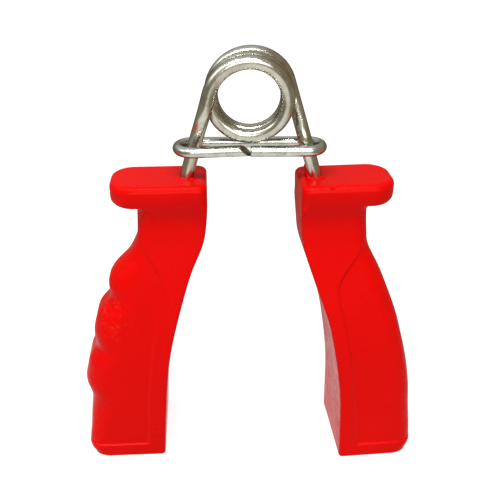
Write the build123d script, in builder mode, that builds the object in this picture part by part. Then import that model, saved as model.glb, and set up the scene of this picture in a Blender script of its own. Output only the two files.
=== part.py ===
from build123d import *
from math import cos, pi, radians, sin
import os

os.makedirs("parts", exist_ok=True)

# ---------------------------------------------------------------- dimensions
# Frame: X across the two handles, Y through their depth (front is -Y), Z up.
# The grip stands on its two handle bottoms at Z = 0.

# torsion spring, one wire: a coil about the Y direction and two legs
spring_wire_d = 4.0
coil_mean_r = 10.8
lead_r = 11.5               # the wire opens out a little where it runs into the left leg
tail_r = 11.3               # and over the last half turn, into the right leg
coil_pitch = 4.4
coil_axis_z = 119.0
spring_y = -0.9             # mid plane of the spring
left_leg_angle = 15.55      # each leg leans outward from the vertical
right_leg_angle = 16.5
leg_plane_z = 106.4         # below this height both legs lie in the spring's mid plane
leg_in_handle = 45.0        # straight length sunk in each handle

# retaining clip: a flattened ring of thinner wire around both legs
clip_wire_d = 3.2
clip_z = 104.1
clip_right_x = 16.95        # centres of the two round ends
clip_left_x = -16.15
clip_back_y = 3.1
clip_front_right_y = -4.7
clip_front_left_y = -5.5
clip_tuck = 5.3             # the left end slants in behind the right one

# handles
left_twist = 2.0            # each handle sits turned by this on its leg
right_twist = 4.5
left_mid_y = (0.35, 1.9)    # mid plane of each handle in its depth, at the top and at the foot
right_mid_y = (-0.6, -1.9)
lean_top_z = 91.0           # the mid plane leans below this height
left_pivot_x = -18.5        # where the legs enter the handle tops
right_pivot_x = 19.4
handle_top_z = 94.85
flange_under_z = 88.1       # underside of the outward finger stop
flange_tip_r = 6.8
inner_corner_r = 2.6
panel_depth = 0.7           # shallow recess in the front and back faces
rim_h = 4.6                 # raised rim below each recess
top_edge_r = 1.3
bottom_corner_r = 4.0
outer_edge_r = 4.5
inner_edge_r = 0.6

# outlines seen from the front, as (x, z)
left_inner = [(-12.5, flange_under_z), (-12.7, 84.3), (-13.1, 80.0), (-14.2, 74.7),
              (-16.8, 68.6), (-20.0, 59.5), (-23.4, 47.3), (-25.9, 35.1), (-27.2, 22.9),
              (-28.1, 10.7), (-28.7, 0.0)]
left_outer = [(-33.1, flange_under_z), (-33.6, 80.1), (-34.1, 76.2), (-35.5, 72.9),
              (-37.6, 69.7), (-40.8, 66.5), (-43.1, 63.3), (-43.8, 60.0), (-43.8, 56.3),
              (-45.1, 54.0), (-47.4, 51.2), (-48.7, 48.1), (-49.4, 44.5), (-49.2, 41.9),
              (-49.0, 39.7), (-50.4, 37.1), (-51.8, 34.5), (-52.5, 31.8), (-53.2, 28.7),
              (-53.1, 25.5), (-52.2, 22.3), (-52.1, 19.0), (-52.6, 14.5), (-53.0, 9.5),
              (-53.6, 5.0)]
left_strip = [(-33.6, 76.9), (-31.0, 72.7), (-28.2, 67.6), (-26.3, 62.0), (-27.3, 55.9),
              (-29.4, 46.3), (-31.2, 35.1), (-32.4, 22.9), (-33.2, 10.7), (-33.6, rim_h)]
right_inner = [(14.4, flange_under_z), (14.5, 84.5), (14.8, 80.4), (15.4, 75.3), (17.2, 69.0),
               (20.2, 60.0), (23.5, 50.0), (25.5, 40.3), (26.8, 32.0), (27.7, 24.0),
               (28.1, 16.0), (28.2, 8.0), (28.3, 0.0)]
right_outer = [(34.4, flange_under_z), (35.2, 78.2), (35.9, 73.6), (38.4, 68.3), (40.9, 63.0),
               (43.3, 57.0), (45.6, 50.7), (47.4, 44.3), (49.1, 37.6), (50.5, 30.8),
               (51.5, 23.7), (52.0, 16.6), (52.5, 10.1), (52.8, 5.0)]
right_strip = [(35.2, 77.0), (32.4, 72.6), (29.3, 68.2), (26.2, 62.9), (26.3, 57.2),
               (28.4, 48.3), (30.4, 36.5), (31.9, 24.7), (32.9, 13.0), (33.4, rim_h)]
left_stop = (-12.5, -40.9)    # inner end and tip of the finger stop, along X
right_stop = (14.4, 42.4)
# half depth of a handle against height, as (half depth, z), about a mid plane that leans
depth_top = 9.2
depth_curve = [(9.2, 91.0), (8.2, 87.2), (7.1, 83.4), (6.9, 79.0), (7.6, 73.0), (9.2, 65.0),
               (11.0, 56.0), (12.8, 43.0), (13.8, 28.0), (14.4, 13.0), (14.7, 0.0)]

# ---------------------------------------------------------------- spring coil
wire_r = spring_wire_d / 2
lead_sweep = 90 - left_leg_angle       # degrees of wire in each stretch of the winding
body_sweep = 630
tail_sweep = 180 - right_leg_angle
coil_length = (lead_sweep + body_sweep + tail_sweep) / 360 * coil_pitch
coil_front_y = spring_y - coil_length / 2


def winding(radius, x, z, start_polar, degrees, y):
    """A stretch of the winding about the Y direction, clockwise as seen from the front."""
    turn = Helix(coil_pitch, degrees / 360 * coil_pitch, radius, center=(x, y, z), direction=(0, 1, 0))
    return turn.rotate(Axis((x, 0, z), (0, 1, 0)), 90 - start_polar)


lead = winding(
    lead_r, 0, coil_axis_z + coil_mean_r - lead_r, 90 + lead_sweep, lead_sweep, coil_front_y
)
body_y = coil_front_y + lead_sweep / 360 * coil_pitch
body = winding(coil_mean_r, 0, coil_axis_z, 90, body_sweep, body_y)
tail = winding(
    tail_r, tail_r - coil_mean_r, coil_axis_z, 180, tail_sweep, body_y + body_sweep / 360 * coil_pitch
)

with BuildPart() as spring_coil:
    with BuildLine():
        add(body)
    with BuildSketch(Plane(origin=body @ 0, z_dir=body % 0)):
        Circle(wire_r)
    sweep(is_frenet=True)
spring_coil.part.label = "spring_coil"

# ---------------------------------------------------------------- spring legs
# each leg takes the opened end of the winding with it, then bends into the mid plane
with BuildPart() as lead_arc:
    with BuildLine():
        add(lead)
    with BuildSketch(Plane(origin=lead @ 0, z_dir=lead % 0)):
        Circle(wire_r)
    sweep(is_frenet=True)

with BuildPart() as tail_arc:
    with BuildLine():
        add(tail)
    with BuildSketch(Plane(origin=tail @ 0, z_dir=tail % 0)):
        Circle(wire_r)
    sweep(is_frenet=True)


def leg_points(side, angle, radius, x, z):
    ca, sa = cos(radians(angle)), sin(radians(angle))
    rise = coil_pitch / (2 * pi * radius)
    out = side * coil_length / 2
    start = Vector(x + side * radius * ca, spring_y + out, z + radius * sa)

    def at_height(z, y):
        return Vector(start.X + side * (start.Z - z) * sa / ca, y, z)

    leave = Vector(side * sa, side * rise, -ca)
    run = Vector(side * sa, 0, -ca)
    knee = at_height(leg_plane_z, spring_y)
    mids = [
        at_height(start.Z - 7.4, spring_y + out * 0.98),
        at_height(start.Z - 11.8, spring_y + out * 0.52),
    ]
    return start, mids, knee, leave, run, at_height(handle_top_z, spring_y) + run * leg_in_handle


l_start, l_mids, l_knee, l_leave, l_run, l_end = leg_points(
    -1, left_leg_angle, lead_r, 0, coil_axis_z + coil_mean_r - lead_r
)
r_start, r_mids, r_knee, r_leave, r_run, r_end = leg_points(
    1, right_leg_angle, tail_r, tail_r - coil_mean_r, coil_axis_z
)

with BuildPart() as left_leg:
    with BuildLine():
        Spline(l_start, *l_mids, l_knee, tangents=(l_leave, l_run))
        Line(l_knee, l_end)
    with BuildSketch(Plane(origin=l_start, z_dir=l_leave)):
        Circle(wire_r)
    sweep()
    add(lead_arc.part)
left_leg.part.label = "left_leg"

with BuildPart() as right_leg:
    with BuildLine():
        Spline(r_start, *r_mids, r_knee, tangents=(r_leave, r_run))
        Line(r_knee, r_end)
    with BuildSketch(Plane(origin=r_start, z_dir=r_leave)):
        Circle(wire_r)
    sweep()
    add(tail_arc.part)
right_leg.part.label = "right_leg"

# ---------------------------------------------------------------- retaining clip
with BuildPart() as retaining_clip:
    with BuildLine(Plane.XY.offset(clip_z)) as ring:
        right_r = (clip_back_y - clip_front_right_y) / 2
        left_r = (clip_back_y - clip_front_left_y) / 2
        front_right = Line((0.35, clip_front_right_y), (clip_right_x, clip_front_right_y))
        JernArc(front_right @ 1, (1, 0), right_r, 180)
        Line((clip_right_x, clip_back_y), (clip_left_x, clip_back_y))
        left_end = JernArc((clip_left_x, clip_back_y), (-1, 0), left_r, 180 + clip_tuck)
        PolarLine(left_end @ 1, 15.75, clip_tuck)
    with BuildSketch(Plane(origin=front_right @ 0, z_dir=front_right % 0)) as wire_section:
        Circle(clip_wire_d / 2)
    sweep(sections=wire_section.sketch, path=ring.wires()[0])
    # the left end is sheared off on a slant
    with BuildSketch(Plane.XZ.offset(8)) as shear:
        with BuildLine():
            Polyline(
                (0.05, clip_z - 2.0), (-3.1, clip_z + 2.0), (0.25, clip_z + 2.0),
                (0.25, clip_z - 2.0), close=True,
            )
        make_face()
    extrude(shear.sketch, amount=-8, mode=Mode.SUBTRACT)
retaining_clip.part.label = "retaining_clip"

# ---------------------------------------------------------------- handles
def turned(degrees):
    """A handle's across and rearward directions."""
    a = radians(degrees)
    return Vector(cos(a), sin(a), 0), Vector(-sin(a), cos(a), 0)


def local(points, pivot):
    return [(x - pivot, z) for x, z in points]


def face_line(side, mid_y, inset=0.0):
    """One face of a handle in its side view: side -1 is the front, 1 the back."""
    top, foot = mid_y
    return [(side * (d - inset) + top + (foot - top) * (1 - z / lean_top_z), z) for d, z in depth_curve]


# ---- left handle
l_across, l_rearward = turned(left_twist)
l_front = Plane(origin=(left_pivot_x, 0, 0), x_dir=l_across, z_dir=-l_rearward)
l_side = Plane(origin=(left_pivot_x, 0, 0), x_dir=l_rearward, z_dir=l_across)
l_plan = Plane(origin=(left_pivot_x, 0, flange_under_z), x_dir=l_across, z_dir=(0, 0, 1))
l_in, l_tip = left_stop[0] - left_pivot_x, left_stop[1] - left_pivot_x

# the skin between the full depth and the recessed panels
with BuildPart() as left_recess:
    with BuildSketch(l_front.offset(-20)) as panel:
        with BuildLine():
            strip = Spline(*local(left_strip, left_pivot_x))
            Polyline(strip @ 1, (-38, rim_h), (-38, 78.6), strip @ 0)
        make_face()
    extrude(panel.sketch, amount=40)
    with BuildSketch(l_side.offset(-60)) as core:
        with BuildLine():
            front_edge = Spline(*face_line(-1, left_mid_y, panel_depth))
            back_edge = Spline(*face_line(1, left_mid_y, panel_depth))
            Line(front_edge @ 0, back_edge @ 0)
            Line(front_edge @ 1, back_edge @ 1)
        make_face()
    extrude(core.sketch, amount=120, mode=Mode.SUBTRACT)

with BuildPart() as left_handle:
    with BuildSketch(l_front.offset(-20)) as outline:
        with BuildLine():
            inner = Spline(*local(left_inner, left_pivot_x))
            outer = Spline(*local(left_outer, left_pivot_x))
            Polyline(inner @ 1, ((outer @ 1).X, 0), outer @ 1)
            Line(outer @ 0, inner @ 0)
        make_face()
    extrude(outline.sketch, amount=40)
    with BuildSketch(l_plan) as stop:
        with BuildLine():
            Polyline(
                (l_in, left_mid_y[0] - depth_top), (l_in, left_mid_y[0] + depth_top),
                (l_tip, left_mid_y[0] + depth_top), (l_tip, left_mid_y[0] - depth_top), close=True,
            )
        make_face()
        fillet(stop.vertices().group_by(Axis.X)[0], flange_tip_r)
        fillet(stop.vertices().group_by(Axis.X)[-1], inner_corner_r)
    extrude(stop.sketch, amount=handle_top_z - flange_under_z)
    with BuildSketch(l_side.offset(-60)) as depth:
        with BuildLine():
            front_edge = Spline(*face_line(-1, left_mid_y))
            back_edge = Spline(*face_line(1, left_mid_y))
            Polyline(
                front_edge @ 0, (left_mid_y[0] - depth_top, handle_top_z),
                (left_mid_y[0] + depth_top, handle_top_z), back_edge @ 0,
            )
            Line(front_edge @ 1, back_edge @ 1)
        make_face()
    extrude(depth.sketch, amount=120, mode=Mode.INTERSECT)
    # rounded edges: the bottom outer corner, the long edges, then the top rim
    fillet(left_handle.edges().filter_by_position(Axis.Z, -0.01, 0.01).sort_by(Axis.X)[0], bottom_corner_r)
    fillet(left_handle.edges().filter_by(lambda e: e.length > 80).sort_by(Axis.X)[:2], outer_edge_r)
    fillet(left_handle.edges().filter_by(lambda e: e.length > 80).sort_by(Axis.X)[-2:], inner_edge_r)
    fillet(
        left_handle.edges().filter_by_position(Axis.Z, handle_top_z - 0.01, handle_top_z + 0.01),
        top_edge_r,
    )
    add(left_recess.part, mode=Mode.SUBTRACT)
    # blind hole for the leg
    with BuildSketch(Plane(origin=l_end, z_dir=-l_run)) as hole:
        Circle(wire_r)
    extrude(hole.sketch, amount=leg_in_handle + 12, mode=Mode.SUBTRACT)
left_handle.part.label = "left_handle"

# ---- right handle
r_across, r_rearward = turned(right_twist)
r_front = Plane(origin=(right_pivot_x, 0, 0), x_dir=r_across, z_dir=-r_rearward)
r_side = Plane(origin=(right_pivot_x, 0, 0), x_dir=r_rearward, z_dir=r_across)
r_plan = Plane(origin=(right_pivot_x, 0, flange_under_z), x_dir=r_across, z_dir=(0, 0, 1))
r_in, r_tip = right_stop[0] - right_pivot_x, right_stop[1] - right_pivot_x

# the skin between the full depth and the recessed panels
with BuildPart() as right_recess:
    with BuildSketch(r_front.offset(-20)) as panel:
        with BuildLine():
            strip = Spline(*local(right_strip, right_pivot_x))
            Polyline(strip @ 1, (36, rim_h), (36, 78.6), strip @ 0)
        make_face()
    extrude(panel.sketch, amount=40)
    with BuildSketch(r_side.offset(-60)) as core:
        with BuildLine():
            front_edge = Spline(*face_line(-1, right_mid_y, panel_depth))
            back_edge = Spline(*face_line(1, right_mid_y, panel_depth))
            Line(front_edge @ 0, back_edge @ 0)
            Line(front_edge @ 1, back_edge @ 1)
        make_face()
    extrude(core.sketch, amount=120, mode=Mode.SUBTRACT)

with BuildPart() as right_handle:
    with BuildSketch(r_front.offset(-20)) as outline:
        with BuildLine():
            inner = Spline(*local(right_inner, right_pivot_x))
            outer = Spline(*local(right_outer, right_pivot_x))
            Polyline(inner @ 1, ((outer @ 1).X, 0), outer @ 1)
            Line(outer @ 0, inner @ 0)
        make_face()
    extrude(outline.sketch, amount=40)
    with BuildSketch(r_plan) as stop:
        with BuildLine():
            Polyline(
                (r_in, right_mid_y[0] - depth_top), (r_in, right_mid_y[0] + depth_top),
                (r_tip, right_mid_y[0] + depth_top), (r_tip, right_mid_y[0] - depth_top), close=True,
            )
        make_face()
        fillet(stop.vertices().group_by(Axis.X)[-1], flange_tip_r)
        fillet(stop.vertices().group_by(Axis.X)[0], inner_corner_r)
    extrude(stop.sketch, amount=handle_top_z - flange_under_z)
    with BuildSketch(r_side.offset(-60)) as depth:
        with BuildLine():
            front_edge = Spline(*face_line(-1, right_mid_y))
            back_edge = Spline(*face_line(1, right_mid_y))
            Polyline(
                front_edge @ 0, (right_mid_y[0] - depth_top, handle_top_z),
                (right_mid_y[0] + depth_top, handle_top_z), back_edge @ 0,
            )
            Line(front_edge @ 1, back_edge @ 1)
        make_face()
    extrude(depth.sketch, amount=120, mode=Mode.INTERSECT)
    # rounded edges: the bottom outer corner, the long edges, then the top rim
    fillet(right_handle.edges().filter_by_position(Axis.Z, -0.01, 0.01).sort_by(Axis.X)[-1], bottom_corner_r)
    fillet(right_handle.edges().filter_by(lambda e: e.length > 80).sort_by(Axis.X)[-2:], outer_edge_r)
    fillet(right_handle.edges().filter_by(lambda e: e.length > 80).sort_by(Axis.X)[:2], inner_edge_r)
    fillet(
        right_handle.edges().filter_by_position(Axis.Z, handle_top_z - 0.01, handle_top_z + 0.01),
        top_edge_r,
    )
    add(right_recess.part, mode=Mode.SUBTRACT)
    # blind hole for the leg
    with BuildSketch(Plane(origin=r_end, z_dir=-r_run)) as hole:
        Circle(wire_r)
    extrude(hole.sketch, amount=leg_in_handle + 12, mode=Mode.SUBTRACT)
right_handle.part.label = "right_handle"

# ---------------------------------------------------------------- export
export_step(spring_coil.part, "parts/spring_coil.step")
export_step(left_leg.part, "parts/left_leg.step")
export_step(right_leg.part, "parts/right_leg.step")
export_step(retaining_clip.part, "parts/retaining_clip.step")
export_step(left_handle.part, "parts/left_handle.step")
export_step(right_handle.part, "parts/right_handle.step")
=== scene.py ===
import bpy, math, random
import numpy as np
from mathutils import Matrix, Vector


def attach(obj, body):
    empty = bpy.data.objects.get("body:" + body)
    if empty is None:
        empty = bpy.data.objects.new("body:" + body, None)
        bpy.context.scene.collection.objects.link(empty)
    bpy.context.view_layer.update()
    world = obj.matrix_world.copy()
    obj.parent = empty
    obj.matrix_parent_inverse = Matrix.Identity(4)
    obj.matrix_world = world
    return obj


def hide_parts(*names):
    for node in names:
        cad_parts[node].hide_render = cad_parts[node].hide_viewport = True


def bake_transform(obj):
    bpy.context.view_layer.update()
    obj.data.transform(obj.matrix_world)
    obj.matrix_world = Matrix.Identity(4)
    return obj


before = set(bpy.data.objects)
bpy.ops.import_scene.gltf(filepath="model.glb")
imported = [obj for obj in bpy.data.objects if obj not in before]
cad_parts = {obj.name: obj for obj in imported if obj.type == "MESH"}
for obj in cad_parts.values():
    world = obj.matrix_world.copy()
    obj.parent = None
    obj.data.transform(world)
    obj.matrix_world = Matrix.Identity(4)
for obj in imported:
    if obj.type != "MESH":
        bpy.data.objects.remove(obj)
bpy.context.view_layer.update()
random.seed(7)

MM = 0.001
PI = math.pi


# ------------------------------------------------------------------ curves
def spline(points, n=None):
    """Cubic interpolating spline through (value, z) points, as value(z)."""
    pts = sorted(((z, v) for v, z in points))
    x = np.array([p[0] for p in pts], float)
    y = np.array([p[1] for p in pts], float)
    k = len(x)
    h = np.diff(x)
    A = np.zeros((k, k))
    b = np.zeros(k)
    A[0, 0] = A[-1, -1] = 1
    A[0, 1] = A[-1, -2] = -1
    for i in range(1, k - 1):
        A[i, i - 1], A[i, i], A[i, i + 1] = h[i - 1], 2 * (h[i - 1] + h[i]), h[i]
        b[i] = 6 * ((y[i + 1] - y[i]) / h[i] - (y[i] - y[i - 1]) / h[i - 1])
    m = np.linalg.solve(A, b)

    def f(z):
        z = np.clip(np.asarray(z, float), x[0], x[-1])
        i = np.clip(np.searchsorted(x, z, side="right") - 1, 0, k - 2)
        t = z - x[i]
        hi = h[i]
        c = (y[i + 1] - y[i]) / hi - hi * (2 * m[i] + m[i + 1]) / 6
        return y[i] + t * c + t * t * m[i] / 2 + t ** 3 * (m[i + 1] - m[i]) / (6 * hi)

    return f


def smooth(t):
    t = np.clip(t, 0, 1)
    return t * t * (3 - 2 * t)


UNDER, TOP = 88.1, 94.85
RIM = 4.6
LEAN_TOP = 91.0
LEFT = dict(
    side=-1, pivot=-18.5, stop=(-12.5, -40.9), twist=math.radians(2.0), mid_y=(0.35, 1.9),
    inner=[(-12.5, 88.1), (-12.7, 84.3), (-13.1, 80.0), (-14.2, 74.7), (-16.8, 68.6), (-20.0, 59.5),
           (-23.4, 47.3), (-25.9, 35.1), (-27.2, 22.9), (-28.1, 10.7), (-28.7, 0.0)],
    outer=[(-33.1, 88.1), (-33.6, 80.1), (-34.1, 76.2), (-35.5, 72.9), (-37.6, 69.7), (-40.8, 66.5),
           (-43.1, 63.3), (-43.8, 60.0), (-43.8, 56.3), (-45.1, 54.0), (-47.4, 51.2),
           (-48.7, 48.1), (-49.4, 44.5), (-49.2, 41.9), (-49.0, 39.7), (-50.4, 37.1),
           (-51.8, 34.5), (-52.5, 31.8), (-53.2, 28.7), (-53.1, 25.5), (-52.2, 22.3),
           (-52.1, 19.0), (-52.6, 14.5), (-53.0, 9.5), (-53.6, 5.0), (-53.6, 0.0)],
    strip=[(-33.6, 76.9), (-31.0, 72.7), (-28.2, 67.6), (-26.3, 62.0), (-27.3, 55.9), (-29.4, 46.3),
           (-31.2, 35.1), (-32.4, 22.9), (-33.2, 10.7), (-33.6, 4.6)],
)
RIGHT = dict(
    side=1, pivot=19.4, stop=(14.4, 42.4), twist=math.radians(4.5), mid_y=(-0.6, -1.9),
    inner=[(14.4, 88.1), (14.5, 84.5), (14.8, 80.4), (15.4, 75.3), (17.2, 69.0), (20.2, 60.0),
           (23.5, 50.0), (25.5, 40.3), (26.8, 32.0), (27.7, 24.0), (28.1, 16.0), (28.2, 8.0),
           (28.3, 0.0)],
    outer=[(34.4, 88.1), (35.2, 78.2), (35.9, 73.6), (38.4, 68.3), (40.9, 63.0), (43.3, 57.0),
           (45.6, 50.7), (47.4, 44.3), (49.1, 37.6), (50.5, 30.8), (51.5, 23.7), (52.0, 16.6),
           (52.5, 10.1), (52.8, 5.0), (52.8, 0.0)],
    strip=[(35.2, 77.0), (32.4, 72.6), (29.3, 68.2), (26.2, 62.9), (26.3, 57.2), (28.4, 48.3),
           (30.4, 36.5), (31.9, 24.7), (32.9, 13.0), (33.4, 4.6)],
)
DEPTH = [(9.14, 94.85), (9.14, 91.0), (8.14, 87.2), (7.05, 83.4), (6.85, 79.0), (7.55, 73.0), (9.14, 65.0),
         (10.92, 56.0), (12.71, 43.0), (13.7, 28.0), (14.3, 13.0), (14.6, 0.0)]


# ------------------------------------------------------------------ meshes
def make_object(name, verts, faces, loop_uvs=None, smooth_all=True):
    me = bpy.data.meshes.new(name)
    me.from_pydata([tuple(v) for v in verts], [], faces)
    if smooth_all:
        for p in me.polygons:
            p.use_smooth = True
    if loop_uvs is not None:
        layer = me.uv_layers.new(name="along")
        flat = [c for face in loop_uvs for uv in face for c in uv]
        layer.data.foreach_set("uv", flat)
    me.update()
    ob = bpy.data.objects.new(name, me)
    bpy.context.scene.collection.objects.link(ob)
    return ob


def handle_mesh(name, H):
    s, pv = H["side"], H["pivot"]
    fi, fo, fs, fd = spline(H["inner"]), spline(H["outer"]), spline(H["strip"]), spline(DEPTH)
    NF1, NF2, NC, NO, NI = 16, 40, 14, 14, 14   # strip, panel, corner, outer side, inner side
    zs_strip = [p[1] for p in H["strip"]]

    def section(z, xi, xo, d, ri, ro, panel):
        """One ring in handle coordinates (across, rearward), from the inner front corner outward."""
        # across is measured toward the outer side; front is -w
        a0, a1 = xi * s, xo * s
        ri = min(ri, d * 0.95, (a1 - a0) * 0.45)
        ro = min(ro, d * 0.95, (a1 - a0) * 0.45)
        st = float(fs(min(max(z, RIM), max(zs_strip)))) * s
        if z > max(zs_strip):
            st += (z - max(zs_strip)) * 0.62
        mid = min(max(st, a0 + ri + 0.4), a1 - ro - 0.4)
        front = list(mid + (a0 + ri - mid) * np.linspace(1, 0, NF1, endpoint=False) ** 1.6) + list(
            mid + (a1 - ro - mid) * np.linspace(0, 1, NF2) ** 1.6)
        pts = [(a, -d) for a in front]
        pts += [(a1 - ro + ro * math.sin(t), -d + ro - ro * math.cos(t))
                for t in np.linspace(0, PI / 2, NC + 2)[1:-1]]
        pts += [(a1, w) for w in np.linspace(-d + ro, d - ro, NO)]
        pts += [(a1 - ro + ro * math.cos(t), d - ro + ro * math.sin(t))
                for t in np.linspace(0, PI / 2, NC + 2)[1:-1]]
        pts += [(a, d) for a in reversed(front)]
        pts += [(a0 + ri - ri * math.sin(t), d - ri + ri * math.cos(t))
                for t in np.linspace(0, PI / 2, NC + 2)[1:-1]]
        pts += [(a0, w) for w in np.linspace(d - ri, -d + ri, NI)]
        pts += [(a0 + ri - ri * math.cos(t), -d + ri - ri * math.sin(t))
                for t in np.linspace(0, PI / 2, NC + 2)[1:-1]]
        pts = np.array(pts)
        if panel:
            k = smooth((pts[:, 0] - st + 0.3) / 1.3) * smooth((z - RIM + 0.1) / 0.55) * smooth((78.6 - z) / 1.5)
            pts[:, 1] *= (d - 0.62 * k) / d
        return pts

    rings = []  # (z, section)
    # underside: flat, with a small edge round
    for t in np.linspace(0, PI / 2, 7):
        e = 0.9 * (1 - math.sin(t))
        z = 0.9 * (1 - math.cos(t))
        rc = 4.0
        xo = float(fo(0)) - s * (rc - math.sqrt(max(rc * rc - (rc - z) ** 2, 0)))
        rings.append((z, section(z, float(fi(z)) + s * e, xo - s * e, float(fd(z)) - e, 1.0, 4.2, False)))
    zs = list(np.linspace(1.1, 4.2, 10)) + list(np.linspace(4.35, 5.35, 14)) + list(np.linspace(5.8, 77.0, 170)) \
        + list(np.linspace(77.3, 86.6, 26))
    for z in zs:
        rc = 4.0
        xo = float(fo(z))
        if z < rc:
            xo -= s * (rc - math.sqrt(rc * rc - (rc - z) ** 2))
        grow = 3.4 if H["side"] < 0 else 1.0
        ro = 5.2 + grow * float(smooth((z - 4) / 16)) - (grow + 0.6) * float(smooth((z - 62) / 16))
        rings.append((z, section(z, float(fi(z)), xo, float(fd(z)), 1.0, ro, True)))
    # concave fillet under the finger stop, then its underside and rim
    xn, tip, xin = float(fo(86.6)), H["stop"][1], H["stop"][0]
    fr = UNDER - 86.6
    for t in np.linspace(0.15, PI / 2, 8):
        z = 86.6 + fr * math.sin(t)
        xo = xn + s * fr * (1 - math.cos(t))
        rings.append((z, section(z, float(fi(z)), xo, float(fd(z)), 1.0 + 0.8 * math.sin(t), 3.6 + 0.4 * (1 - math.cos(t)), False)))
    ur = 1.7
    x_a, x_b = xn + s * fr, tip - s * ur
    for k in np.linspace(0.1, 1, 8):
        z = UNDER
        rings.append((z + 0.004 * k, section(z, xin, x_a + (x_b - x_a) * k, float(fd(z)), 1.8, 4.0 + 1.6 * k, False)))
    for t in np.linspace(0.2, PI / 2, 9):
        z = UNDER + ur * (1 - math.cos(t))
        rings.append((z, section(z, xin, x_b + s * ur * math.sin(t), float(fd(z)), 1.8 + 0.6 * math.sin(t), 5.6 + 1.2 * math.sin(t), False)))
    tr = 1.6
    for z in np.linspace(90.3, TOP - tr, 10):
        rings.append((z, section(z, xin, tip, float(fd(z)), 2.6, 6.8, False)))
    for t in np.linspace(0.12, PI / 2, 12):
        e = tr * (1 - math.cos(t))
        z = TOP - tr + tr * math.sin(t)
        rings.append((z, section(z, xin + s * e, tip - s * e, DEPTH[0][0] - e, 2.6 - e * 0.6, 6.8 - e, False)))
    n = len(rings[0][1])
    ct, sn = math.cos(H["twist"]), math.sin(H["twist"])
    top_y, foot_y = H["mid_y"]
    verts = []
    for z, pts in rings:
        lean = top_y + (foot_y - top_y) * max(0.0, 1 - z / LEAN_TOP)
        for a, w in pts:
            u = a * s - pv
            w += lean
            verts.append(((pv + u * ct - w * sn) * MM, (u * sn + w * ct) * MM, z * MM))
    faces = []
    flip = s > 0
    for r in range(len(rings) - 1):
        for i in range(n):
            j = (i + 1) % n
            q = [r * n + i, r * n + j, (r + 1) * n + j, (r + 1) * n + i]
            faces.append(q if flip else q[::-1])
    bottom = list(range(n))
    top = [(len(rings) - 1) * n + i for i in range(n)]
    faces.append(bottom[::-1] if flip else bottom)
    faces.append(top if flip else top[::-1])
    ob = make_object(name, verts, faces)
    ob.data.polygons[-1].use_smooth = False
    ob.data.polygons[-2].use_smooth = False
    return ob


def tubes(names, path, cuts, radius, segs=48, rims=(0.25, 0.25), shear=None):
    """Closed round tubes that follow one path (mm), cut at the given points so that they meet flush.

    rims bevel the path's two ends; shear slants its last end."""
    P = np.array(path, float)
    T = np.gradient(P, axis=0)
    T /= np.linalg.norm(T, axis=1)[:, None]
    nrm = np.array((0, 1, 0), float)
    if abs(T[0].dot(nrm)) > 0.9:
        nrm = np.array((0, 0, 1), float)
    nrm -= T[0] * nrm.dot(T[0])
    nrm /= np.linalg.norm(nrm)
    L = np.concatenate([[0], np.cumsum(np.linalg.norm(np.diff(P, axis=0), axis=1))])
    normals = []
    for i in range(len(P)):
        nrm = nrm - T[i] * nrm.dot(T[i])
        nrm /= np.linalg.norm(nrm)
        normals.append(nrm)
    made = []
    for name, i0, i1 in zip(names, cuts[:-1], cuts[1:]):
        verts, rows, at = [], [], []

        def ring(i, back, r):
            u = L[i] + back
            w = float(smooth((u - (L[-1] - shear[2])) / shear[2])) if shear else 0.0
            b = np.cross(T[i], normals[i])
            row = []
            for k in range(segs):
                a = 2 * PI * k / segs
                off = r * (math.cos(a) * normals[i] + math.sin(a) * b)
                row.append(len(verts))
                slant = w * (shear[0] * off[2] + shear[1] * off[1]) if shear else 0.0
                verts.append((P[i] + T[i] * (back + slant) + off) * MM)
            rows.append(row)
            at.append(u)

        e0 = rims[0] if i0 == 0 else 0
        e1 = rims[1] if i1 == len(P) - 1 else 0
        if e0:
            ring(i0, 0, radius - e0)
            ring(i0, e0 * 0.3, radius - e0 * 0.3)
        else:
            ring(i0 - 2, 0, radius - 0.3)
            ring(i0 - 1, 0, radius - 0.004)
        for i in range(i0, i1 + 1):
            if (e0 and L[i] < L[i0] + e0) or (e1 and L[i] > L[i1] - e1):
                continue
            ring(i, 0, radius)
        if e1:
            ring(i1, -e1 * 0.3, radius - e1 * 0.3)
            ring(i1, 0, radius - e1)
        else:
            ring(i1 + 1, 0, radius - 0.004)
            ring(i1 + 2, 0, radius - 0.3)
        faces, uvs = [], []
        for r in range(len(rows) - 1):
            for k in range(segs):
                j = (k + 1) % segs
                faces.append([rows[r][k], rows[r][j], rows[r + 1][j], rows[r + 1][k]])
                u0, u1, v0, v1 = at[r] * 0.1, at[r + 1] * 0.1, k / segs, (k + 1) / segs
                uvs.append([(u0, v0), (u0, v1), (u1, v1), (u1, v0)])
        for row, u in ((rows[0][::-1], at[0]), (rows[-1], at[-1])):
            faces.append(row)
            uvs.append([(u * 0.1 + 0.02 * math.cos(k), 0.5 + 0.1 * math.sin(k)) for k in range(segs)])
        ob = make_object(name, verts, faces, uvs)
        ob.data.polygons[-1].use_smooth = False
        ob.data.polygons[-2].use_smooth = False
        made.append(ob)
    return made


def tube(name, path, radius, **kw):
    return tubes((name,), path, (0, len(path) - 1), radius, **kw)[0]


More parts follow.
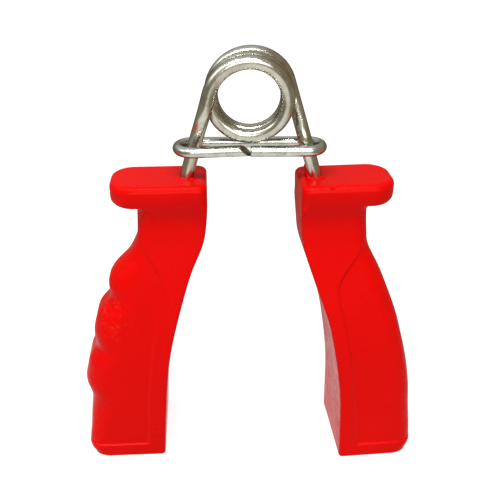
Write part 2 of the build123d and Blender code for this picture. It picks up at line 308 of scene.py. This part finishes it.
def collar(name, side, angle, pivot, rise, seed):
    """The lip of plastic that the moulding left around a leg where it enters the handle."""
    rng = random.Random(seed)
    n = 72
    ph = [rng.uniform(0, 2 * PI) for _ in range(6)]
    ta = math.tan(math.radians(angle))
    verts, faces = [], []
    for k in range(n):
        a = 2 * PI * k / n
        wob = sum(math.sin((m + 2) * a + ph[m]) / (m + 2) for m in range(6))
        h, t = rise(a, wob)
        for rho, z in ((1.7, -0.6), (2.0 + t, -0.6), (2.0 + t, 0.0), (2.0 + t * 0.72, 0.12 + h * 0.45),
                       (2.0 + t * 0.42, 0.1 + h * 0.86), (2.0 + t * 0.16, 0.05 + h), (1.7, h)):
            x = pivot - side * ta * z + rho * math.cos(a) / math.cos(math.radians(angle))
            verts.append((x * MM, (SY + rho * math.sin(a)) * MM, (TOP + z) * MM))
    m = 7
    for k in range(n):
        for i in range(m):
            faces.append([k * m + i, ((k + 1) % n) * m + i, ((k + 1) % n) * m + (i + 1) % m, k * m + (i + 1) % m])
    return make_object(name, verts, faces)


# ------------------------------------------------------------------ spring
R, LEAD_R, TAIL_R, PITCH, ZC, WR = 10.8, 11.5, 11.3, 4.4, 119.0, 1.99
LA, RA = 15.55, 16.5
SY = -0.9
SWEEPS = (90 - LA, 630.0, 180 - RA)
LEN = sum(SWEEPS) / 360 * PITCH
Y0 = SY - LEN / 2


def winding_point(deg):
    """deg counts from the left shoulder, clockwise as seen from the front."""
    y = Y0 + deg / 360 * PITCH
    a = math.radians(180 - LA - deg)
    if deg <= SWEEPS[0]:
        return np.array([LEAD_R * math.cos(a), y, ZC + R - LEAD_R + LEAD_R * math.sin(a)])
    if deg <= SWEEPS[0] + SWEEPS[1]:
        return np.array([R * math.cos(a), y, ZC + R * math.sin(a)])
    return np.array([TAIL_R - R + TAIL_R * math.cos(a), y, ZC + TAIL_R * math.sin(a)])


def hermite(p0, p1, m0, m1, n):
    t = np.linspace(0, 1, n)[:, None]
    return (2 * t**3 - 3 * t**2 + 1) * p0 + (t**3 - 2 * t**2 + t) * m0 + (-2 * t**3 + 3 * t**2) * p1 + (t**3 - t**2) * m1


def leg_path(side, angle, radius, start):
    """From the shoulder down into the handle; the wire eases back into the mid plane above the clip."""
    ca, sa = math.cos(math.radians(angle)), math.sin(math.radians(angle))
    z_end = 94.85 - 45.0 * ca
    rise = PITCH / (2 * PI * radius)
    pts = []
    for z in np.concatenate([np.linspace(start[2] - 0.3, 103.5, 75), np.linspace(102.8, z_end, 40)]):
        down = start[2] - z
        t = min(max((down - 4.2) / 12.6, 0), 1)
        off = (start[1] - SY) + side * rise * down / ca * (1 - float(smooth(down / 9)))
        pts.append((start[0] + side * down * sa / ca, SY + off * (1 - float(smooth(t))), z))
    return pts


TOTAL = sum(SWEEPS)
wind = [winding_point(d) for d in np.linspace(0, TOTAL, 440)]
left_path = leg_path(-1, LA, LEAD_R, wind[0])[::-1]
right_path = leg_path(1, RA, TAIL_R, wind[-1])
SPRING = np.array(left_path + wind + right_path)
k0, k2 = len(left_path), len(left_path) + len(wind) - 1
k1 = (k0 + k2) // 2
left_leg, coil_front, coil_rear, right_leg = tubes(
    ("left_leg_wire", "coil_front_wire", "coil_rear_wire", "right_leg_wire"), SPRING,
    (0, k0, k1, k2, len(SPRING) - 1), WR, rims=(0.3, 0.3))

# ------------------------------------------------------------------ clip
CR, CZ = 1.6, 104.1
CLIP_R, CLIP_L, BACK, FRONT_R, FRONT_L = 16.95, -16.15, 3.1, -4.7, -5.5


def clip_path():
    rr, lr = (BACK - FRONT_R) / 2, (BACK - FRONT_L) / 2
    pts = [np.array([x, FRONT_R, CZ]) for x in np.linspace(0.35, CLIP_R, 40, endpoint=False)]
    pts += [np.array([CLIP_R + rr * math.cos(a), BACK - rr + rr * math.sin(a), CZ])
            for a in np.linspace(-PI / 2, PI / 2, 30, endpoint=False)]
    pts += [np.array([x, BACK, CZ]) for x in np.linspace(CLIP_R, CLIP_L, 60, endpoint=False)]
    tuck = math.radians(5.3)
    a1 = 3 * PI / 2 + tuck
    pts += [np.array([CLIP_L + lr * math.cos(a), BACK - lr + lr * math.sin(a), CZ])
            for a in np.linspace(PI / 2, a1, 32, endpoint=False)]
    p = np.array([CLIP_L + lr * math.cos(a1), BACK - lr + lr * math.sin(a1), CZ])
    d = np.array([math.cos(tuck), math.sin(tuck), 0])
    run = (-1.05 - p[0]) / d[0]
    pts += [p + d * l for l in np.linspace(0, run, 70)]
    return np.array(pts)


clip = tube("clip_wire", clip_path(), CR, segs=44, rims=(0.2, 0.12), shear=(-1.02, 0.5, 8.0))

# ------------------------------------------------------------------ handles
left_handle = handle_mesh("left_handle_shell", LEFT)
right_handle = handle_mesh("right_handle_shell", RIGHT)

left_collar = collar("left_leg_collar", -1, LA, -18.5,
                     lambda a, w: (0.28 + 0.10 * w, 0.85 + 0.22 * w), 3)
right_collar = collar("right_leg_collar", 1, RA, 19.4,
                      lambda a, w: (0.35 + 0.12 * w + 3.6 * math.exp(-((a - PI * 1.02) / 0.42) ** 2), 0.95 + 0.25 * w), 5)
rng = random.Random(11)
flash_path, q = [], None
for k in range(40):
    u = k / 39
    flash_path.append((21.6 + 3.4 * u, -8.75 + 0.35 * math.sin(7 * u + 0.6) + 0.2 * math.sin(19 * u),
                       94.33 + 0.10 * math.sin(13 * u)))
flash = tube("right_stop_flash", flash_path, 0.27, segs=16, rims=(0.2, 0.2))

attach(left_handle, "left_arm")
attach(left_collar, "left_arm")
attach(right_collar, "right_arm")
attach(flash, "right_arm")
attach(right_handle, "right_arm")
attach(left_leg, "left_arm")
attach(right_leg, "right_arm")
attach(clip, "spring")
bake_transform(coil_front)
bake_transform(coil_rear)
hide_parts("left_handle")
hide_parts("right_handle")
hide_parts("left_leg")
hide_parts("right_leg")
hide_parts("retaining_clip")
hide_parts("spring_coil")
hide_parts("spring_coil")


# ------------------------------------------------------------------ materials
def nodes_of(name):
    m = bpy.data.materials.new(name)
    m.use_nodes = True
    nt = m.node_tree
    nt.nodes.clear()
    out = nt.nodes.new("ShaderNodeOutputMaterial")
    bsdf = nt.nodes.new("ShaderNodeBsdfPrincipled")
    nt.links.new(bsdf.outputs[0], out.inputs[0])
    return m, nt, bsdf


def math_node(nt, op, a, b=None, clamp=False):
    n = nt.nodes.new("ShaderNodeMath")
    n.operation = op
    n.use_clamp = clamp
    for k, v in ((0, a), (1, b)):
        if v is None:
            continue
        if isinstance(v, (int, float)):
            n.inputs[k].default_value = v
        else:
            nt.links.new(v, n.inputs[k])
    return n.outputs[0]


def map_range(nt, v, a, b, c, d):
    n = nt.nodes.new("ShaderNodeMapRange")
    nt.links.new(v, n.inputs["Value"])
    for k, x in (("From Min", a), ("From Max", b), ("To Min", c), ("To Max", d)):
        n.inputs[k].default_value = x
    return n.outputs["Result"]


def noise(nt, vec, scale, detail=3.0, rough=0.5):
    n = nt.nodes.new("ShaderNodeTexNoise")
    n.inputs["Scale"].default_value = scale
    n.inputs["Detail"].default_value = detail
    n.inputs["Roughness"].default_value = rough
    nt.links.new(vec, n.inputs["Vector"])
    return n.outputs["Fac"]


def mix_rgb(nt, f, a, b):
    n = nt.nodes.new("ShaderNodeMix")
    n.data_type = "RGBA"
    if isinstance(f, (int, float)):
        n.inputs["Factor"].default_value = f
    else:
        nt.links.new(f, n.inputs["Factor"])
    for k, v in (("A", a), ("B", b)):
        if isinstance(v, tuple):
            n.inputs[k].default_value = (*v, 1)
        else:
            nt.links.new(v, n.inputs[k])
    return n.outputs["Result"]


def red_plastic():
    m, nt, b = nodes_of("glossy_red_plastic")
    N, Lk = nt.nodes.new, nt.links.new
    P = N("ShaderNodeTexCoord").outputs["Object"]
    # slow swirls of pigment
    base = mix_rgb(nt, map_range(nt, noise(nt, P, 38, 3), 0.3, 0.7, 0, 1), (0.63, 0.0022, 0.0014), (0.68, 0.0030, 0.0019))
    # painted highlight: lighter pink speckles on the finger bumps, which are also made rougher
    vm = N("ShaderNodeVectorMath"); vm.operation = "DISTANCE"
    Lk(P, vm.inputs[0]); vm.inputs[1].default_value = (-0.0445, -0.008, 0.051)
    near = map_range(nt, vm.outputs["Value"], 0.003, 0.010, 1.0, 0.0)
    speckle_mask = map_range(nt, noise(nt, P, 1500, 3, 0.6), 0.52, 0.66, 0, 1)
    bump_highlight_speckle = math_node(nt, "MULTIPLY", math_node(nt, "MULTIPLY", near, speckle_mask),
                     map_range(nt, noise(nt, P, 300, 2), 0.45, 0.6, 0, 1), True)
    # sparse scuffs everywhere
    scuff = math_node(nt, "MULTIPLY", map_range(nt, noise(nt, P, 900, 4, 0.7), 0.66, 0.74, 0, 1),
                      map_range(nt, noise(nt, P, 70, 2), 0.55, 0.7, 0, 1), True)
    # the bump speckle is a painted highlight and the sparse scuffs are real wear; both lighten the base colour and
    # raise roughness
    highlight_and_scuffs = math_node(nt, "MAXIMUM", math_node(nt, "MULTIPLY", bump_highlight_speckle, 0.38), math_node(nt, "MULTIPLY", scuff, 0.25))
    Lk(mix_rgb(nt, highlight_and_scuffs, base, (0.85, 0.085, 0.05)), b.inputs["Base Color"])
    r = map_range(nt, noise(nt, P, 260, 4), 0.3, 0.7, 0.20, 0.33)
    Lk(math_node(nt, "ADD", r, math_node(nt, "MULTIPLY", highlight_and_scuffs, 0.8), True), b.inputs["Roughness"])
    b.inputs["Specular IOR Level"].default_value = 0.045
    # sparse tiny nibs and pits left by the mould, over a faint ripple
    vor = N("ShaderNodeTexVoronoi"); vor.inputs["Scale"].default_value = 230
    Lk(P, vor.inputs["Vector"])
    sep = N("ShaderNodeSeparateColor"); Lk(vor.outputs["Color"], sep.inputs[0])
    nib = math_node(nt, "MULTIPLY", map_range(nt, vor.outputs["Distance"], 0.0, 0.12, 1, 0),
                    math_node(nt, "GREATER_THAN", sep.outputs[0], 0.975))
    ripple = noise(nt, P, 95, 2)
    hgt = math_node(nt, "ADD", math_node(nt, "MULTIPLY", ripple, 0.5), math_node(nt, "MULTIPLY", nib, 0.6))
    hgt = math_node(nt, "ADD", hgt, math_node(nt, "MULTIPLY", noise(nt, P, 700, 3), 0.05))
    bump = N("ShaderNodeBump"); bump.inputs["Strength"].default_value = 0.16; bump.inputs["Distance"].default_value = 0.0003
    Lk(hgt, bump.inputs["Height"])
    Lk(bump.outputs[0], b.inputs["Normal"])
    return m


def wire_metal(name, light, dark, r0, r1, seed):
    m, nt, b = nodes_of(name)
    N, Lk = nt.nodes.new, nt.links.new
    uv = N("ShaderNodeUVMap"); uv.uv_map = "along"
    su = N("ShaderNodeSeparateXYZ"); Lk(uv.outputs[0], su.inputs[0])
    ang = math_node(nt, "MULTIPLY", su.outputs[1], 2 * PI)
    cv = N("ShaderNodeCombineXYZ")
    Lk(math_node(nt, "MULTIPLY", math_node(nt, "COSINE", ang), 1.0), cv.inputs[0])
    Lk(math_node(nt, "MULTIPLY", math_node(nt, "SINE", ang), 1.0), cv.inputs[1])
    Lk(math_node(nt, "MULTIPLY_ADD", su.outputs[0], 0.9), cv.inputs[2])
    V = cv.outputs[0]
    streak = noise(nt, V, 6.0, 5, 0.65)       # drawn lines along the wire
    fine = noise(nt, V, 22.0, 3, 0.6)
    P = N("ShaderNodeTexCoord").outputs["Object"]
    blot = noise(nt, P, 300, 5, 0.6)           # plating mottle
    tarn = noise(nt, P, 60, 2)
    col = mix_rgb(nt, map_range(nt, blot, 0.35, 0.65, 0, 1), light, dark)
    col = mix_rgb(nt, map_range(nt, tarn, 0.55, 0.75, 0, 0.5), col, (0.42, 0.36, 0.24))
    # pits and nicks
    vor = N("ShaderNodeTexVoronoi"); vor.inputs["Scale"].default_value = 700
    Lk(P, vor.inputs["Vector"])
    sep = N("ShaderNodeSeparateColor"); Lk(vor.outputs["Color"], sep.inputs[0])
    pit = math_node(nt, "MULTIPLY", map_range(nt, vor.outputs["Distance"], 0.05, 0.30, 1, 0),
                    math_node(nt, "GREATER_THAN", sep.outputs[0], 0.955))
    col = mix_rgb(nt, math_node(nt, "MULTIPLY", pit, 0.75), col, (0.10, 0.09, 0.08))
    Lk(col, b.inputs["Base Color"])
    b.inputs["Metallic"].default_value = 1.0
    b.inputs["Specular Tint"].default_value = (0.34, 0.32, 0.28, 1)
    Lk(math_node(nt, "ADD", map_range(nt, streak, 0.35, 0.65, r0, r1), math_node(nt, "MULTIPLY", fine, 0.05)),
       b.inputs["Roughness"])
    hgt = math_node(nt, "ADD", math_node(nt, "MULTIPLY", streak, 0.5), math_node(nt, "MULTIPLY", fine, 0.25))
    hgt = math_node(nt, "ADD", hgt, math_node(nt, "MULTIPLY", blot, 0.45))
    hgt = math_node(nt, "SUBTRACT", hgt, math_node(nt, "MULTIPLY", pit, 0.6))
    bump = N("ShaderNodeBump"); bump.inputs["Strength"].default_value = 0.30; bump.inputs["Distance"].default_value = 0.00012
    Lk(hgt, bump.inputs["Height"])
    Lk(bump.outputs[0], b.inputs["Normal"])
    return m


red = red_plastic()
steel = wire_metal("bright_spring_wire", (0.65, 0.63, 0.56), (0.47, 0.445, 0.35), 0.13, 0.27, 1)
clip_steel = wire_metal("bright_clip_wire", (0.62, 0.63, 0.58), (0.44, 0.45, 0.40), 0.15, 0.32, 2)
for ob, mat, sl in ((left_handle, red, "red_plastic"), (right_handle, red, "red_plastic"),
                    (left_collar, red, "red_plastic"), (right_collar, red, "red_plastic"), (flash, red, "red_plastic"),
                    (left_leg, steel, "spring_steel"), (right_leg, steel, "spring_steel"),
                    (coil_front, steel, "spring_steel"), (coil_rear, steel, "spring_steel"),
                    (clip, clip_steel, "clip_steel")):
    ob.data.materials.append(mat)

# ------------------------------------------------------------------ floor and light
# The floor is plain white. What shines sees it white in front of the grip and dim further out.
fl, nt, b = nodes_of("white_floor")
b.inputs["Base Color"].default_value = (0.5, 0.5, 0.5, 1)
b.inputs["Roughness"].default_value = 0.9
b.inputs["Specular IOR Level"].default_value = 0.0
b.inputs["Emission Color"].default_value = (1, 1, 1, 1)
b.inputs["Emission Strength"].default_value = 0.70
geo = nt.nodes.new("ShaderNodeNewGeometry")
sp = nt.nodes.new("ShaderNodeSeparateXYZ")
nt.links.new(geo.outputs["Position"], sp.inputs[0])
wide = math_node(nt, "ABSOLUTE", math_node(nt, "ADD", sp.outputs[0], 0.03))
patch = math_node(nt, "MULTIPLY", map_range(nt, wide, 0.09, 0.20, 1, 0), map_range(nt, sp.outputs[1], 0.02, 0.12, 1, 0))
em = nt.nodes.new("ShaderNodeEmission")
nt.links.new(mix_rgb(nt, patch, (0.27, 0.25, 0.18), (1.05, 1.05, 1.02)), em.inputs["Color"])
lp = nt.nodes.new("ShaderNodeLightPath")
ms = nt.nodes.new("ShaderNodeMixShader")
nt.links.new(lp.outputs["Is Glossy Ray"], ms.inputs[0])
nt.links.new(b.outputs[0], ms.inputs[1])
nt.links.new(em.outputs[0], ms.inputs[2])
soft = nt.nodes.new("ShaderNodeEmission")      # the floor lights the grip only gently from below
soft.inputs["Strength"].default_value = 0.62
md = nt.nodes.new("ShaderNodeMixShader")
nt.links.new(lp.outputs["Is Diffuse Ray"], md.inputs[0])
nt.links.new(ms.outputs[0], md.inputs[1])
nt.links.new(soft.outputs[0], md.inputs[2])
out = [n for n in nt.nodes if n.type == "OUTPUT_MATERIAL"][0]
nt.links.new(md.outputs[0], out.inputs[0])
floor = make_object("floor", [(-4, -4, 0), (4, -4, 0), (4, 4, 0), (-4, 4, 0)], [[0, 1, 2, 3]], smooth_all=False)
floor.data.materials.append(fl)

world = bpy.data.worlds.new("studio")
bpy.context.scene.world = world
world.use_nodes = True
nt = world.node_tree
bg = nt.nodes["Background"]
tc = nt.nodes.new("ShaderNodeTexCoord")
sp = nt.nodes.new("ShaderNodeSeparateXYZ")
nt.links.new(tc.outputs["Generated"], sp.inputs[0])
up = map_range(nt, sp.outputs[2], 0.12, 0.62, 0, 1)
sky = mix_rgb(nt, up, (0.22, 0.20, 0.16), (0.66, 0.67, 0.67))
sidef = map_range(nt, sp.outputs[0], 0.05, 0.55, 0, 0.8)
nt.links.new(mix_rgb(nt, sidef, sky, (0.24, 0.19, 0.11)), bg.inputs["Color"])
bg.inputs["Strength"].default_value = 1.0


def area(name, loc, target, size, power, size_y=None):
    d = bpy.data.lights.new(name, "AREA")
    d.energy = power
    d.shape = "RECTANGLE"
    d.size = size
    d.size_y = size_y or size
    o = bpy.data.objects.new(name, d)
    bpy.context.scene.collection.objects.link(o)
    o.location = loc
    o.rotation_euler = (Vector(target) - Vector(loc)).to_track_quat("-Z", "Y").to_euler()
    return o


area("key_strip", (-0.06, -0.36, 0.78), (0, 0, 0.08), 0.60, 4.9, 0.05)
area("soft_left", (-0.75, -0.25, 0.75), (0, 0, 0.06), 0.5, 1.6, 0.5)
area("soft_front", (0.15, -1.1, 0.55), (0, 0, 0.06), 0.8, 4.7, 0.4)
bpy.context.scene.view_settings.view_transform = "Standard"
bpy.context.scene.view_settings.look = "None"

# ------------------------------------------------------------------ camera
cam_data = bpy.data.cameras.new("camera")
cam = bpy.data.objects.new("camera", cam_data)
bpy.context.scene.collection.objects.link(cam)
az, pitch = math.radians(1.21), math.radians(27.57)
cam.location = (-0.00436, -0.21853, 0.18418)
look = Vector((math.sin(az) * math.cos(pitch), math.cos(az) * math.cos(pitch), -math.sin(pitch)))
cam.rotation_euler = look.to_track_quat("-Z", "Y").to_euler()
cam_data.sensor_width = 36.0
cam_data.lens = 36.0 * 798.0 / 500.0
cam_data.clip_start = 0.01
bpy.context.scene.camera = cam
